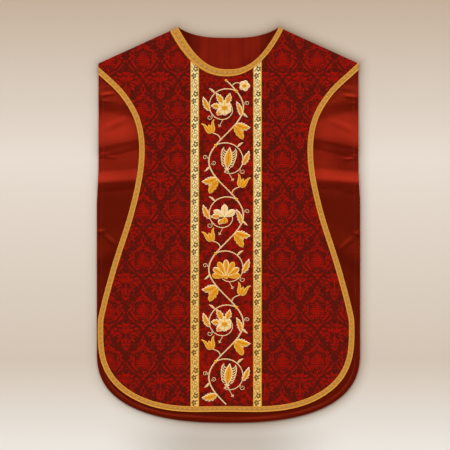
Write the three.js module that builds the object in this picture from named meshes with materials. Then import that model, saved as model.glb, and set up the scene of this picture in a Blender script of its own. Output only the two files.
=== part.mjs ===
import * as THREE from 'three';

/*
Fiddleback chasuble laid flat on its back, with the front upward.
Millimetres. +Y runs from the hems to the neck and +Z up from the surface that the back lies on.
The origin is on that surface, under the middle of the outline.
The front lies a little to the left of the back, as the garment is laid.
*/

// The whole outline
const garmentLength = 1054; // neck tips to back hem
const backWidth = 702; // widest, across the lower back
const shoulderWidth = 693; // tip to tip
const neckWidth = 269; // tip to tip
const shoulderDrop = 96.5; // neck tips down to shoulder tips
const backNeck = { depth: 28, spread: 3 };
const flare = { from: 160, to: 45 }; // heights between which the sides widen to backWidth
const backHem = { start: -338, roundness: 2.5 }; // the corners are a superellipse below start

// The front
const frontShift = -6.4; // the middle of the front, to the left of the middle of the back
const frontHem = { y: -497.5, roundness: 2.8, fullness: 4.5 }; // fullness: how far it bows out beside the middle
const neckEdge = { half: neckWidth / 2, depth: 112.4, fall: 0.96, spread: 2.4 };
const neckBandEdge = { half: 152, top: 521.6, depth: 126.2, fall: 1.08, spread: 2.2 };
const orphreyHalf = 72; // embroidered width on each side of the middle
const bandWidth = 23; // patterned galloon along the orphrey
const edgeGalloonWidth = 14.7;

// Half width of the fiddle outline, from the shoulder to the widest point
const fiddleEdge = [
  { y: 412, half: 351.7 },
  { y: 344, half: 281.5 },
  { y: 270, half: 241 },
  { y: 174, half: 232.5 },
  { y: 46, half: 256 },
  { y: -114, half: 306 },
  { y: -242, half: 339.5 },
  { y: -280, half: 342.1 },
];

// Where the edge galloon meets the shoulder tips: its outer and inner edge, left and right
const galloonEnds = {
  left: { outerY: 403, innerY: 422.5 },
  right: { outerY: 412, innerY: 427.5 },
};

// Walls, from the surface upward
const backThickness = 2; // brocade with its interlining
const liningThickness = 1;
const frontThickness = 2;
const trimThickness = 1;
const seamGap = 0.3;
const trimBack = 0.16; // each trim stops this far inside the line that it shares with its neighbour

// Soft forms
const neckRise = 2.8; // the front neckline stands up from the back lining
const edgeRise = 1.2; // the waist edges of the front stand up
const swell = { height: 0.5, acrossLength: 420, downLength: 310 };

// Ridges that run across each side of the back. Each rises slowly from its neck side and falls to its hem side.
const sideFolds = [
  { crestY: 222, slant: 0.4, riseLength: 92, fallLength: 30, clothHeight: 1.8, liningHeight: 4.6 },
  { crestY: 116, slant: 0.1, riseLength: 34, fallLength: 22, clothHeight: 0.6, liningHeight: 2.6 },
  { crestY: 318, slant: -0.3, riseLength: 40, fallLength: 34, clothHeight: 0.4, liningHeight: 1.5 },
  { crestY: -48, slant: 0.6, riseLength: 60, fallLength: 46, clothHeight: 0.5, liningHeight: 1.4 },
];
const foldStart = 12; // a ridge starts this far outside the front
const foldFull = 46; // and has its full height here
const foldAnchor = 270; // the slant is measured from this half width

const colours = {
  damask: '#7a160e',
  satin: '#8a1c10',
  embroidered: '#7e1a12',
  braid: '#c9953c',
  patterned: '#d6b866',
};

// Heights that follow from the sizes
const neckTipY = garmentLength / 2;
const hemY = -garmentLength / 2;
const shoulderTip = new THREE.Vector2(shoulderWidth / 2, neckTipY - shoulderDrop);
const shoulderSlope = shoulderDrop / (shoulderTip.x - neckWidth / 2);
const widest = fiddleEdge[fiddleEdge.length - 1];
const liningTop = backThickness + seamGap + liningThickness;
const frontUnderside = liningTop + seamGap;

const { lerp, clamp, smoothstep } = THREE.MathUtils;

function shoulderY(x) {
  return neckTipY - (Math.abs(x) - neckWidth / 2) * shoulderSlope;
}

// Scooped neck curve: how far below its tips it lies, x from its own middle
function scoop(curve, x) {
  const share = Math.min(Math.abs(x) / curve.half, 1);
  return curve.depth * (1 - share ** curve.spread) ** (1 / curve.fall);
}

// Cubic through the fiddle table, with no slope at the widest point
function fiddleHalf(y) {
  const slopeAt = (k) => {
    if (k === fiddleEdge.length - 1) return 0;
    const before = fiddleEdge[Math.max(k - 1, 0)];
    const after = fiddleEdge[k + 1];
    return (after.half - before.half) / (after.y - before.y);
  };
  const inside = clamp(y, widest.y, fiddleEdge[0].y);
  const next = Math.max(1, fiddleEdge.findIndex((row) => row.y <= inside));
  const a = fiddleEdge[next - 1];
  const b = fiddleEdge[next];
  const step = b.y - a.y;
  const t = (inside - a.y) / step;
  const ease = t * t * (3 - 2 * t);
  const curve =
    lerp(a.half, b.half, ease) +
    step * (slopeAt(next - 1) * t * (1 - t) ** 2 - slopeAt(next) * t * t * (1 - t));
  return curve + (y - inside) * (y > inside ? slopeAt(0) : 0);
}

// Round of the front's hem, from its side at no angle to its middle at a right angle
function hemRound(halfWidth, depth, angle) {
  const share = Math.cos(angle) ** (2 / frontHem.roundness);
  const drop = depth * Math.sin(angle) ** (2 / frontHem.roundness);
  return new THREE.Vector2(halfWidth * share, -drop - frontHem.fullness * Math.sin(Math.PI * share) ** 2);
}

// How far a point lies outside the front's outline, beside it
function outsideFront(x, y) {
  return Math.abs(x - frontShift) - fiddleHalf(y);
}

// Ridges across the sides: kind is clothHeight for the back panel, liningHeight for the lining on it
function foldHeight(x, y, kind) {
  const weight = smoothstep(outsideFront(x, y), foldStart, foldFull);
  if (weight === 0) return 0;
  const edge = 1 - 0.7 * smoothstep(Math.abs(x), backWidth / 2 - 30, backWidth / 2);
  let height = 0;
  for (const fold of sideFolds) {
    const crest = fold.crestY - (Math.abs(x) - foldAnchor) * fold.slant;
    const reach = y > crest ? fold.riseLength : fold.fallLength;
    const share = clamp(1 - Math.abs(y - crest) / reach, 0, 1);
    height += fold[kind] * share * share * (3 - 2 * share);
  }
  return height * weight * (kind === 'liningHeight' ? edge : 1);
}

// Underside of the front panel
function frontHeight(x, y) {
  const centred = x - frontShift;
  const neckShare = clamp(1 - (x / neckEdge.half) ** 2, 0, 1);
  const belowNeck = neckTipY - scoop(neckEdge, x) - y;
  const neck = neckRise * neckShare * (1 - smoothstep(belowNeck, 0, 130));
  const waist = 1 - smoothstep(Math.abs(y - 170), 60, 260);
  const edge = edgeRise * waist * smoothstep(-outsideFront(x, y), -60, 0);
  const wave =
    1 -
    Math.cos((2 * Math.PI * y) / swell.downLength) *
      Math.cos((2 * Math.PI * centred) / swell.acrossLength);
  const inside = smoothstep(shoulderY(x) - y, 0, 80);
  return frontUnderside + neck + edge + swell.height * wave * inside;
}

// A patch of cloth: points in plan, and quads between them
class Patch {
  constructor() {
    this.points = [];
    this.quads = [];
  }

  add(x, y) {
    this.points.push(new THREE.Vector2(x, y));
    return this.points.length - 1;
  }

  // Joins two rows of point numbers, the second one further round to the left of the first
  strip(lower, upper, list = this.quads) {
    for (let k = 0; k < lower.length - 1; k += 1) {
      list.push([lower[k], lower[k + 1], upper[k + 1], upper[k]]);
    }
  }
}

// Each edge that only one quad has, as [from, to]
function openEdges(quads) {
  const seen = new Set(quads.flatMap((quad) => quad.map((p, k) => `${p},${quad[(k + 1) % 4]}`)));
  return quads.flatMap((quad) =>
    quad.map((p, k) => [p, quad[(k + 1) % 4]]).filter(([a, b]) => !seen.has(`${b},${a}`)),
  );
}

// Moves the points on a piece's open edges inward, so that each edge ends up that distance inside where it was
function pulledIn(points, quads, distance) {
  const normals = new Map();
  for (const [from, to] of openEdges(quads)) {
    const along = points[to].clone().sub(points[from]).normalize();
    const normal = new THREE.Vector2(-along.y, along.x);
    for (const p of [from, to]) normals.set(p, [...(normals.get(p) ?? []), normal]);
  }
  const moved = points.map((p) => p.clone());
  for (const [p, [first, second]] of normals) {
    const middle = first.clone().add(second).normalize();
    moved[p].addScaledVector(middle, distance / middle.dot(first));
  }
  return moved;
}

// Wall of cloth over a set of quads. height(x, y) is its underside.
function clothWall(name, points, quads, height, thickness, colour, finish = {}) {
  const used = [...new Set(quads.flat())];
  const place = new Map(used.map((p, k) => [p, k]));
  const positions = [];
  for (const rise of [0, thickness]) {
    for (const p of used) {
      const { x, y } = points[p];
      positions.push(x, y, height(x, y) + rise);
    }
  }
  const top = used.length;
  const faces = [];
  for (const quad of quads) {
    const [a, b, c, d] = quad.map((p) => place.get(p));
    faces.push(a + top, b + top, c + top, a + top, c + top, d + top);
    faces.push(a, c, b, a, d, c);
  }
  for (const [from, to] of openEdges(quads)) {
    const a = place.get(from);
    const b = place.get(to);
    faces.push(a, b, b + top, a, b + top, a + top);
  }
  const geometry = new THREE.BufferGeometry();
  geometry.setAttribute('position', new THREE.Float32BufferAttribute(positions, 3));
  geometry.setIndex(faces);
  geometry.computeVertexNormals();
  const material = new THREE.MeshStandardMaterial({
    color: colour,
    roughness: 0.7,
    metalness: 0,
    ...finish,
  });
  const mesh = new THREE.Mesh(geometry, material);
  mesh.name = name;
  return mesh;
}

// The back and its lining share one outline: upright columns between the hem and the shoulders and neck
function backPatch(columns, rows) {
  const half = backWidth / 2;
  const patch = new Patch();
  const hemDepth = backHem.start - hemY;
  const topY = (x) =>
    Math.abs(x) < neckWidth / 2
      ? neckTipY - backNeck.depth * (1 - (Math.abs(x) / (neckWidth / 2)) ** backNeck.spread)
      : shoulderY(x);
  const halfAt = (y) => lerp(half, shoulderTip.x, smoothstep(y, flare.to, flare.from));
  const { roundness } = backHem;
  const lines = columns.map((x) => {
    const share = x / shoulderTip.x;
    const bottom = backHem.start - hemDepth * (1 - Math.abs(share) ** roundness) ** (1 / roundness);
    return rows.map((v) => {
      const y = lerp(bottom, topY(x), v);
      return patch.add(share * halfAt(y), y);
    });
  });
  for (let k = 0; k < lines.length - 1; k += 1) patch.strip(lines[k + 1], lines[k]);
  return patch;
}

function bothSides(distances) {
  const outward = distances.filter((x) => x > 0);
  return [...outward.map((x) => -x).reverse(), 0, ...outward];
}

// The front: three blocks of quads inside the galloons, with a ring of quads under each galloon
function frontPatch() {
  const sideSteps = 22;
  const cornerSteps = 5;
  const wingColumns = 5;
  const bandColumns = 3;
  const orphreyColumns = bothSides([orphreyHalf / 2, orphreyHalf, orphreyHalf + bandWidth]);
  const columnEdge = orphreyHalf + bandWidth;
  const hemDepth = widest.y - frontHem.y;
  const innerHalf = widest.half - edgeGalloonWidth;
  const innerDepth = hemDepth - edgeGalloonWidth;
  const patch = new Patch();
  const parts = { orphrey: [], leftBand: [], rightBand: [], edge: [], neck: [], cloth: [] };

  const hemPair = (angle, side) => {
    const outer = hemRound(widest.half, hemDepth, angle);
    const inner = hemRound(innerHalf, innerDepth, angle);
    return { outer: place(outer, side), inner: place(inner, side) };
  };
  function place(point, side) {
    return new THREE.Vector2(frontShift + side * point.x, widest.y + point.y);
  }
  const angleAt = (x) => Math.acos((x / innerHalf) ** (frontHem.roundness / 2));

  // Pairs of points down one side, from the shoulder tip to the round of the hem
  const sideStations = (side) => {
    const ends = side < 0 ? galloonEnds.left : galloonEnds.right;
    const tipX = side * shoulderTip.x;
    const stations = [
      { outer: new THREE.Vector2(tipX, ends.outerY), inner: new THREE.Vector2(tipX, ends.innerY) },
    ];
    for (let k = 1; k < sideSteps; k += 1) {
      const y = lerp(ends.outerY, widest.y, k / sideSteps);
      const slope = fiddleHalf(y + 0.5) - fiddleHalf(y - 0.5);
      const inward = new THREE.Vector2(-side, slope).normalize().multiplyScalar(edgeGalloonWidth);
      const outer = new THREE.Vector2(frontShift + side * fiddleHalf(y), y);
      stations.push({ outer, inner: outer.clone().add(inward) });
    }
    for (let k = 0; k <= cornerSteps; k += 1) {
      stations.push(hemPair((k / cornerSteps) * (Math.PI / 4), side));
    }
    return stations;
  };

  const bandY = (x) => neckBandEdge.top - scoop(neckBandEdge, x - frontShift);

  // Where the outer edge of the neck band meets the shoulder, by halving
  const bandEnd = (side) => {
    let near = columnEdge;
    let far = neckBandEdge.half;
    for (let k = 0; k < 40; k += 1) {
      const middle = (near + far) / 2;
      const x = frontShift + side * middle;
      if (bandY(x) < shoulderY(x)) near = middle;
      else far = middle;
    }
    return near;
  };

  const addAll = (list) => list.map((p) => patch.add(p.x, p.y));
  const blocks = {};
  for (const side of [-1, 1]) {
    const stations = sideStations(side).reverse();
    const tip = new THREE.Vector2(side * shoulderTip.x, shoulderTip.y);
    const outside = [...stations.map((s) => s.inner), tip];
    const lengths = outside.map((p, k) => (k ? p.distanceTo(outside[k - 1]) : 0));
    const total = lengths.reduce((sum, d) => sum + d, 0);
    let run = 0;
    const shares = lengths.map((d) => (run += d) / total);

    const endX = bandEnd(side);
    const corner = stations[0];
    const cornerX = Math.abs(corner.inner.x - frontShift);
    const columnCount = bandColumns + wingColumns;
    const topRow = [];
    const bottomRow = [];
    for (let k = 0; k <= columnCount; k += 1) {
      if (k <= bandColumns) {
        const x = frontShift + side * lerp(columnEdge, endX, k / bandColumns);
        topRow.push(new THREE.Vector2(x, k === bandColumns ? shoulderY(x) : bandY(x)));
      } else {
        const start = frontShift + side * endX;
        const x = lerp(start, tip.x, (k - bandColumns) / wingColumns);
        topRow.push(new THREE.Vector2(x, shoulderY(x)));
      }
      const angle = angleAt(lerp(columnEdge, cornerX, k / columnCount));
      bottomRow.push(hemPair(angle, side));
    }
    const low = bottomRow.map((pair) => pair.inner);
    const inside = shares.map((v) => new THREE.Vector2(low[0].x, lerp(low[0].y, topRow[0].y, v)));

    // Coons patch between the column line, the side, the hem and the shoulder
    const rows = shares.map((v, j) =>
      addAll(
        topRow.map((top, i) => {
          const u = i / columnCount;
          const across = inside[j].clone().lerp(outside[j], u);
          const along = low[i].clone().lerp(top, v);
          const corners = low[0].clone().lerp(low[columnCount], u);
          corners.lerp(topRow[0].clone().lerp(topRow[columnCount], u), v);
          return across.add(along).sub(corners);
        }),
      ),
    );
    blocks[side] = { rows, stations, bottomRow, shares, endX };
  }

  // The middle block: upright columns, sharing its outermost lines with the blocks beside it
  const rowCount = blocks[1].rows.length;
  const middleRows = [];
  for (let j = 0; j < rowCount; j += 1) {
    const share = (x) => lerp(blocks[-1].shares[j], blocks[1].shares[j], (x + columnEdge) / (2 * columnEdge));
    middleRows.push(
      orphreyColumns.map((x) => {
        if (Math.abs(x) === columnEdge) return blocks[Math.sign(x)].rows[j][0];
        const low = place(hemRound(innerHalf, innerDepth, angleAt(Math.abs(x))), 1).y;
        return patch.add(frontShift + x, lerp(low, bandY(frontShift + x), share(x)));
      }),
    );
  }
  for (let j = 0; j < rowCount - 1; j += 1) {
    const quads = [];
    patch.strip(middleRows[j], middleRows[j + 1], quads);
    parts.leftBand.push(quads[0]);
    parts.rightBand.push(quads[quads.length - 1]);
    parts.orphrey.push(...quads.slice(1, -1));
    patch.strip(blocks[1].rows[j], blocks[1].rows[j + 1], parts.cloth);
    patch.strip([...blocks[-1].rows[j]].reverse(), [...blocks[-1].rows[j + 1]].reverse(), parts.cloth);
  }

  // Ring under the edge galloon: down the left side, along the hem and up the right side
  const leftSide = blocks[-1];
  const rightSide = blocks[1];
  const lastColumn = (block) => block.rows.map((row) => row[row.length - 1]).slice(0, -1);
  const hemOf = (block) => block.rows[0].slice(0, -1);
  const innerRing = [
    ...lastColumn(leftSide).reverse(),
    ...hemOf(leftSide).reverse(),
    ...middleRows[0].slice(1, -1),
    ...hemOf(rightSide),
    ...lastColumn(rightSide),
  ];
  const middleHem = orphreyColumns.slice(1, -1).map((x) => hemPair(angleAt(Math.abs(x)), Math.sign(x) || 1).outer);
  const outerRing = addAll([
    ...[...leftSide.stations].reverse().map((s) => s.outer),
    ...leftSide.bottomRow.slice(0, -1).reverse().map((s) => s.outer),
    ...middleHem,
    ...rightSide.bottomRow.slice(0, -1).map((s) => s.outer),
    ...rightSide.stations.map((s) => s.outer),
  ]);
  patch.strip(outerRing, innerRing, parts.edge);

  // Ring under the neck band: from the left shoulder round the neck to the right shoulder
  const topOf = (block) => block.rows[rowCount - 1].slice(0, bandColumns + 1);
  const innerNeck = [...topOf(leftSide).reverse(), ...middleRows[rowCount - 1].slice(1, -1), ...topOf(rightSide)];
  const outerNeck = innerNeck.map((p) => {
    const centred = patch.points[p].x - frontShift;
    const end = blocks[centred < 0 ? -1 : 1].endX;
    const x = (centred / end) * neckEdge.half;
    return patch.add(x, neckTipY - scoop(neckEdge, x));
  });
  patch.strip(innerNeck, outerNeck, parts.neck);

  patch.quads = Object.values(parts).flat();
  return { patch, parts };
}

const chasuble = new THREE.Group();

const backHeight = (x, y) => foldHeight(x, y, 'clothHeight');
const liningHeight = (x, y) => backThickness + seamGap + backHeight(x, y) + foldHeight(x, y, 'liningHeight');

// Columns close together where the ridges are, and one at each neck tip
const sideColumns = [0, 68, neckWidth / 2, 190, 232, 258, 282, 304, 322, 336, 343.5, shoulderTip.x];
const backColumns = bothSides(sideColumns);

// Rows as shares of the way from the hem to the shoulder, close together where the ridges are
function rowShares(bands) {
  const shares = [0];
  let from = 0;
  for (const band of bands) {
    for (let k = 1; k <= band.count; k += 1) shares.push(lerp(from, band.to, k / band.count));
    from = band.to;
  }
  return shares;
}

const closeRows = rowShares([
  { to: 0.36, count: 5 },
  { to: 0.56, count: 6 },
  { to: 0.86, count: 24 },
  { to: 1, count: 3 },
]);
const back = backPatch(backColumns, closeRows);
chasuble.add(
  clothWall('back_panel', back.points, back.quads, backHeight, backThickness, colours.damask),
  clothWall('back_lining', back.points, back.quads, liningHeight, liningThickness, colours.satin, { roughness: 0.4 }),
);

const front = frontPatch();
const frontPoints = front.patch.points;
chasuble.add(
  clothWall('front_panel', frontPoints, front.patch.quads, frontHeight, frontThickness, colours.damask),
);

const trimHeight = (x, y) => frontHeight(x, y) + frontThickness + seamGap;
const trims = [
  { name: 'orphrey', part: 'orphrey', colour: colours.embroidered },
  { name: 'orphrey_band_left', part: 'leftBand', colour: colours.patterned },
  { name: 'orphrey_band_right', part: 'rightBand', colour: colours.patterned },
  { name: 'edge_galloon', part: 'edge', colour: colours.braid },
  { name: 'neck_galloon', part: 'neck', colour: colours.braid },
];
for (const trim of trims) {
  const quads = front.parts[trim.part];
  const points = pulledIn(frontPoints, quads, trimBack);
  const metal = trim.name === 'orphrey' ? {} : { roughness: 0.45, metalness: 0.4 };
  chasuble.add(clothWall(trim.name, points, quads, trimHeight, trimThickness, trim.colour, metal));
}

export default chasuble;
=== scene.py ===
# Fiddleback chasuble, laid flat on a pale table and seen from straight above.
# Metres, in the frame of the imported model: +Y towards the neck, +Z up from the table.

import math

import bpy
import numpy as np
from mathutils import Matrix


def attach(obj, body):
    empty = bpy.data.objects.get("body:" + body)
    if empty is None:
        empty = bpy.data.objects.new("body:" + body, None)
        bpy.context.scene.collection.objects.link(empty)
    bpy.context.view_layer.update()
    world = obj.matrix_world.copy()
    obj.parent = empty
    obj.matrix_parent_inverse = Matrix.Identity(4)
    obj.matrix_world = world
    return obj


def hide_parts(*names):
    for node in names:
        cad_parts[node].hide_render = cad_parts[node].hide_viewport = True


mm = 0.001

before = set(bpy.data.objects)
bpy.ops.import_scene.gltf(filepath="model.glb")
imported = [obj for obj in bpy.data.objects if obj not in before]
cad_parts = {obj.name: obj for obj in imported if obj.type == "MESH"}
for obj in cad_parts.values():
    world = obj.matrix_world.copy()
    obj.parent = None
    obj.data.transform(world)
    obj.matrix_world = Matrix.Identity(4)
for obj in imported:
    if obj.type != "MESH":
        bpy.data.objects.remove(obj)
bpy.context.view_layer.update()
print("frame loaded")


# The cut of the garment

cut = {
    "length": 1.054,
    "backWidth": 0.702,
    "shoulderWidth": 0.693,
    "neckWidth": 0.269,
    "shoulderDrop": 0.0965,
    "backNeckDepth": 0.028,
    "backNeckSpread": 3,
    "flareFrom": 0.160,  # the sides widen between these two heights
    "flareTo": 0.045,
    "backHemStart": -0.338,
    "backHemRoundness": 2.5,
    "frontShift": -0.0064,  # the front lies a little to the left
    "frontHem": -0.4975,
    "frontHemRoundness": 2.8,
    "frontHemFullness": 0.0045,  # how far it bows out beside the middle
    "orphreyHalf": 0.072,
    "bandWidth": 0.023,
    "edgeBraidWidth": 0.0147,
}
neckTip = cut["length"] / 2
shoulderTipX = cut["shoulderWidth"] / 2
shoulderSlope = cut["shoulderDrop"] / (shoulderTipX - cut["neckWidth"] / 2)
frontShift = cut["frontShift"]
neckHalf = cut["neckWidth"] / 2
neckline = {"middle": 0.0, "half": neckHalf, "top": neckTip, "depth": 0.1124, "fall": 0.96, "spread": 2.4}
neckBand = {"middle": frontShift, "half": 0.152, "top": 0.5216, "depth": 0.1262, "fall": 1.08, "spread": 2.2}

# Half width of the front from the hem's corner up to the shoulder
fiddleHeights = np.array([-280, -242, -114, 46, 174, 270, 344, 412]) * mm
fiddleHalves = np.array([342.1, 339.5, 306, 256, 232.5, 241, 281.5, 351.7]) * mm

# How the layers lie on each other
layers = {
    "back": 2 * mm,
    "lining": 1 * mm,
    "front": 2 * mm,
    "trim": 1 * mm,
    "gap": 0.3 * mm,
}
liningLow = layers["back"] + layers["gap"]
frontBase = liningLow + layers["lining"] + layers["gap"]

# Ridges across the sides of the back: crest height, slant, rise, fall, lift of the cloth and of the lining
sideRidges = [
    {"crest": 222, "slant": 0.22, "rise": 92, "fall": 30, "cloth": 1.8, "lining": 4.6},
    {"crest": 116, "slant": 0.07, "rise": 34, "fall": 24, "cloth": 0.6, "lining": 2.6},
    {"crest": 318, "slant": -0.3, "rise": 40, "fall": 34, "cloth": 0.4, "lining": 1.5},
    {"crest": -48, "slant": 0.6, "rise": 60, "fall": 46, "cloth": 0.5, "lining": 1.4},
]


def smooth(value, low, high):
    # 3tt - 2ttt, where t runs from 0 at low to 1 at high
    t = np.clip((value - low) / (high - low), 0, 1)
    return t * t * (3 - 2 * t)


def shoulderY(x):
    # straight line down from each neck tip
    return neckTip - (np.abs(x) - cut["neckWidth"] / 2) * shoulderSlope


def scoopY(curve, x):
    # top less depth * (1 - share ** spread) ** (1 / fall), where share is
    # the distance from the middle over half
    share = np.clip(np.abs(x - curve["middle"]) / curve["half"], 0, 1)
    return curve["top"] - curve["depth"] * (1 - share ** curve["spread"]) ** (1 / curve["fall"])


def fiddleHalf(y):
    # cubic through the table, with the slope between its neighbours at each row and none at the widest one
    slopes = np.gradient(fiddleHalves, fiddleHeights)
    inner = (fiddleHalves[2:] - fiddleHalves[:-2]) / (fiddleHeights[2:] - fiddleHeights[:-2])
    slopes[1:-1] = inner
    slopes[0] = 0
    inside = np.clip(y, fiddleHeights[0], fiddleHeights[-1])
    k = np.clip(np.searchsorted(fiddleHeights, inside) - 1, 0, len(fiddleHeights) - 2)
    step = fiddleHeights[k + 1] - fiddleHeights[k]
    t = (inside - fiddleHeights[k]) / step
    ease = t * t * (3 - 2 * t)
    curve = fiddleHalves[k] + (fiddleHalves[k + 1] - fiddleHalves[k]) * ease
    curve = curve + step * (slopes[k] * t * (1 - t) ** 2 - slopes[k + 1] * t * t * (1 - t))
    return curve + np.maximum(y - fiddleHeights[-1], 0) * slopes[-1]


def hemY(share, start, depth, roundness):
    # a superellipse: start less depth * (1 - share ** roundness) ** (1 / roundness)
    return start - depth * np.clip(1 - np.abs(share) ** roundness, 0, 1) ** (1 / roundness)


def frontHemY(share, inset=0.0):
    # the front's hem, or a line drawn in from it by inset: bows out by fullness * sin(pi * share) ** 2
    deep = fiddleHeights[0] - cut["frontHem"] - inset
    bow = cut["frontHemFullness"] * np.sin(math.pi * np.clip(np.abs(share), 0, 1)) ** 2
    return hemY(share, fiddleHeights[0], deep, cut["frontHemRoundness"]) - bow


def bump(distance, width):
    # a soft bell: 1 at no distance, 0 from width on
    t = np.clip(1 - np.abs(distance) / width, 0, 1)
    return t * t * (3 - 2 * t)


def wholeRidges(x, y, kind):
    # each ridge rises from the neck side by t ** 1.4 * (1 - 0.189 * t ** 6) / 0.811, and then falls
    height = np.zeros_like(x)
    for ridge in sideRidges:
        crest = ridge["crest"] * mm - (np.abs(x) - 0.270) * ridge["slant"]
        t = np.clip(1 - (y - crest) / (ridge["rise"] * mm), 0, 1)
        rise = t**1.4 * (1 - 0.189 * t**6) / 0.811
        height = height + ridge[kind] * mm * np.where(y > crest, rise, bump(y - crest, ridge["fall"] * mm))
    return height


def ridges(x, y, kind):
    # the ridges start a little outside the front's edge, and are lower at the garment's own edge
    outside = np.abs(x - frontShift) - fiddleHalf(y)
    weight = smooth(outside, 12 * mm, 46 * mm)
    if kind == "lining":
        weight = weight * (1 - 0.7 * smooth(np.abs(x), 0.321, 0.351))
    return wholeRidges(x, y, kind) * weight


# Creases are soft troughs or ridges: middle, direction in degrees, half length, half width and height
frontCreases = [
    {"at": (-205, 395), "turn": 62, "half": 70, "wide": 20, "high": 0.30},
    {"at": (212, 402), "turn": 118, "half": 64, "wide": 17, "high": 0.34},
    {"at": (-176, 190), "turn": 96, "half": 120, "wide": 24, "high": 0.26},
    {"at": (188, 150), "turn": 86, "half": 104, "wide": 21, "high": 0.30},
    {"at": (-232, -120), "turn": 70, "half": 96, "wide": 26, "high": 0.32},
    {"at": (238, -164), "turn": 112, "half": 110, "wide": 30, "high": 0.28},
    {"at": (-150, -330), "turn": 24, "half": 90, "wide": 22, "high": 0.24},
    {"at": (158, -352), "turn": 158, "half": 76, "wide": 26, "high": 0.30},
]


def creased(x, y, creases):
    # each crease is a bell across its line, and fades towards its ends
    total = np.zeros_like(x)
    for crease in creases:
        angle = math.radians(crease["turn"])
        dx = x - crease["at"][0] * mm
        dy = y - crease["at"][1] * mm
        along = dx * math.cos(angle) + dy * math.sin(angle)
        across = dy * math.cos(angle) - dx * math.sin(angle)
        across = across + crease.get("bow", 0) * mm * (along / (crease["half"] * mm)) ** 2
        bell = bump(across, crease["wide"] * mm) * bump(along, crease["half"] * mm)
        total = total + crease["high"] * mm * bell
    return total


def frontLow(x, y):
    # underside of the front cloth: lifted at the neckline and the waist, with a slow swell and its creases
    neck = 1 - smooth(scoopY(neckline, x) - y, 0, 0.130)
    neck = 2.8 * mm * np.clip(1 - (x / neckline["half"]) ** 2, 0, 1) * neck
    waist = 1 - smooth(np.abs(y - 0.170), 0.060, 0.260)
    outside = np.abs(x - frontShift) - fiddleHalf(y)
    edge = 1.2 * mm * waist * smooth(outside, -0.060, 0)
    wave = 1 - np.cos(2 * math.pi * y / 0.310) * np.cos(2 * math.pi * (x - frontShift) / 0.420)
    wave = 0.5 * mm * wave * smooth(shoulderY(x) - y, 0, 0.080)
    return frontBase + neck + edge + wave + creased(x, y, frontCreases)


def trimLow(x, y):
    # what lies on the front starts one gap above it
    return frontLow(x, y) + layers["front"] + layers["gap"]


# Meshes from grids


def gridArea(x, y):
    # half the cross product of each cell's diagonals, added up
    ax, ay = x[1:, 1:] - x[:-1, :-1], y[1:, 1:] - y[:-1, :-1]
    bx, by = x[1:, :-1] - x[:-1, 1:], y[1:, :-1] - y[:-1, 1:]
    return (ax * by - ay * bx).sum() / 2


def wall(x, y, low, high, maps):
    # closed wall over a grid of places: upper side, under side and a rim round its four edges
    if gridArea(x, y) < 0:
        x, y, low, high = (values[:, ::-1] for values in (x, y, low, high))
        maps = {name: (u[:, ::-1], v[:, ::-1]) for name, (u, v) in maps.items()}
    count = x.size
    index = np.arange(count).reshape(x.shape)
    cells = np.stack([index[:-1, :-1], index[:-1, 1:], index[1:, 1:], index[1:, :-1]], -1).reshape(-1, 4)
    loop = np.concatenate([index[0, :-1], index[:-1, -1], index[-1, :0:-1], index[:0:-1, 0]])
    after = np.roll(loop, -1)
    rim = np.stack([loop + count, after + count, after, loop], -1)
    flat = np.stack([x.ravel(), y.ravel()], -1)
    points = np.concatenate([np.c_[flat, high.ravel()], np.c_[flat, low.ravel()]])
    quads = np.concatenate([cells, cells[:, ::-1] + count, rim])
    both = {name: np.tile(np.stack([u.ravel(), v.ravel()], -1), (2, 1)) for name, (u, v) in maps.items()}
    return {"points": points, "quads": quads, "maps": both}


def makePieceMesh(name, walls, material, sharp):
    # joins the walls into one mesh
    starts = np.cumsum([0] + [len(part["points"]) for part in walls[:-1]])
    points = np.concatenate([part["points"] for part in walls])
    quads = np.concatenate([part["quads"] + start for part, start in zip(walls, starts)])
    mesh = bpy.data.meshes.new(name)
    mesh.vertices.add(len(points))
    mesh.vertices.foreach_set("co", points.ravel())
    mesh.loops.add(quads.size)
    mesh.loops.foreach_set("vertex_index", quads.ravel())
    mesh.polygons.add(len(quads))
    mesh.polygons.foreach_set("loop_start", np.arange(0, quads.size, 4))
    mesh.polygons.foreach_set("use_smooth", np.ones(len(quads), dtype=bool))
    mesh.update(calc_edges=True)
    for mapName in walls[0]["maps"]:
        values = np.concatenate([part["maps"][mapName] for part in walls])
        layer = mesh.uv_layers.new(name=mapName)
        layer.data.foreach_set("uv", values[quads.ravel()].ravel())
    mesh.set_sharp_from_angle(angle=math.radians(sharp))
    mesh.materials.append(material)
    piece = bpy.data.objects.new(name, mesh)
    bpy.context.scene.collection.objects.link(piece)
    print("made", name, len(quads) * 2, "triangles")
    return piece


def makePiece(name, walls, material, sharp=50):
    # a piece that rides on the garment's one body
    piece = makePieceMesh(name, walls, material, sharp)
    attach(piece, "root")
    return piece


def shares(count, ends=(0.0008, 0.002, 0.004)):
    # even shares from 0 to 1, with a few close ones at both ends for the rounded edges
    inside = np.linspace(ends[-1], 1 - ends[-1], count)
    return np.concatenate([[0], ends[:-1], inside, 1 - np.array(ends[-2::-1]), [1]])


def closeToEdges(count, power):
    # shares from -1 to 1 that crowd together towards both ends
    t = np.linspace(-1, 1, count)
    return np.sign(t) * (1 - (1 - np.abs(t)) ** power)


# Shader maths


def paint(red, green, blue):
    # a colour as a picture holds it, turned into the linear one that shaders take
    values = np.array([red, green, blue]) / 255
    linear = np.where(values > 0.04045, ((values + 0.055) / 1.055) ** 2.4, values / 12.92)
    return (*linear.tolist(), 1)


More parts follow.
